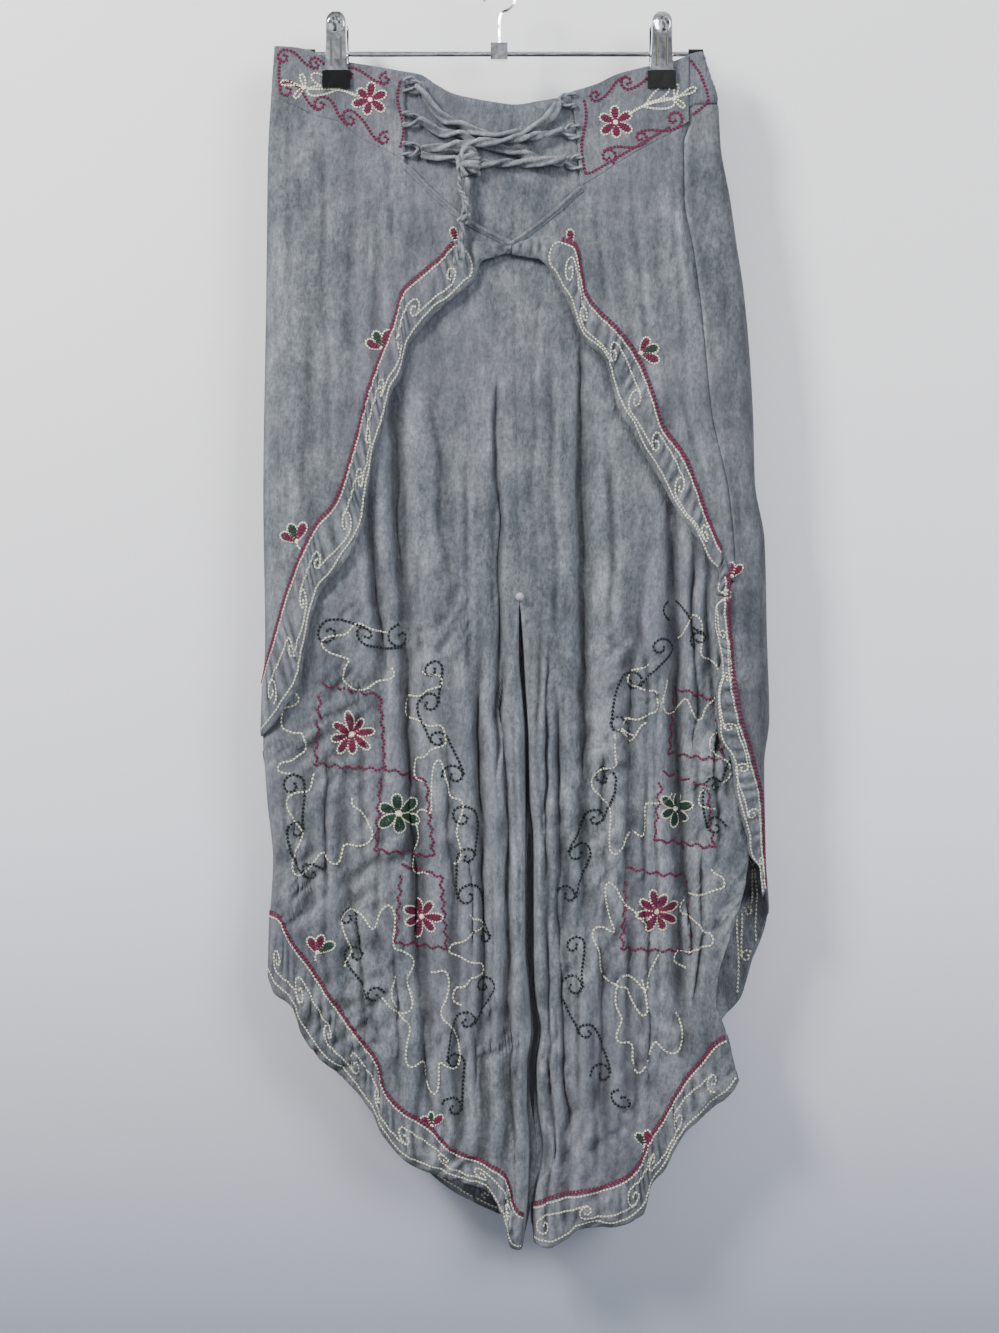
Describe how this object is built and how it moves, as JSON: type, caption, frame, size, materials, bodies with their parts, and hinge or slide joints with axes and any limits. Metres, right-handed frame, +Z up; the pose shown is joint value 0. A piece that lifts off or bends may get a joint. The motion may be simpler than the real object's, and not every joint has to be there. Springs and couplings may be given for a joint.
{
  "type": "wide-leg trousers on a clip hanger",
  "caption": "Wide-leg gauze trousers with crossed petal overlays, embroidered borders and a laced waist, hanging flat from a clip hanger.",
  "frame": {"origin": "inner top of the hanger's hook, where it hangs on a rail", "axes": "+Z up, -Y the front of the trousers, +X to the right of a viewer in front"},
  "size_m": [0.4386, 0.05, 1.0886],
  "materials": {
    "gauze": "crinkled stonewashed rayon gauze",
    "yoke_gauze": "crinkled gauze with chain-stitch embroidery",
    "border_gauze": "crinkled gauze border with chain-stitch embroidery",
    "shirred_gauze": "elasticated gauze",
    "lace": "twisted gauze cord",
    "bead": "thread-wound button",
    "chrome": "polished",
    "rubber": "satin"
  },
  "bodies": {
    "root": {"overlay_left": "gauze", "overlay_right": "gauze", "front_panel_left": "gauze", "front_panel_right": "gauze", "back_panel_left": "gauze", "back_panel_right": "gauze", "yoke_left": "yoke_gauze", "yoke_right": "yoke_gauze", "overlay_border_left": "border_gauze", "overlay_border_right": "border_gauze", "front_hem_band_left": "border_gauze", "front_hem_band_right": "border_gauze", "back_hem_band_left": "border_gauze", "back_hem_band_right": "border_gauze", "slit_border_right": "border_gauze", "back_waistband": "shirred_gauze", "lace_loop_left_top": "lace", "lace_loop_left_middle": "lace", "lace_loop_left_bottom": "lace", "lace_loop_right_top": "lace", "lace_loop_right_middle": "lace", "lace_loop_right_bottom": "lace", "lace_row_1": "lace", "lace_row_2": "lace", "lace_row_3": "lace", "lace_row_4": "lace", "lace_row_5": "lace", "lace_knot": "lace", "lace_tail": "lace", "crotch_bead": "bead", "hanger_rod": "chrome", "hook_bracket": "chrome", "hanger_hook": "chrome", "clip_left_front_plate": "chrome", "clip_left_back_plate": "chrome", "clip_left_spring": "chrome", "clip_right_front_plate": "chrome", "clip_right_back_plate": "chrome", "clip_right_spring": "chrome", "rod_cap_left": "rubber", "rod_cap_right": "rubber", "clip_left_front_pad": "rubber", "clip_left_back_pad": "rubber", "clip_right_front_pad": "rubber", "clip_right_back_pad": "rubber"}
  },
  "joints": []
}
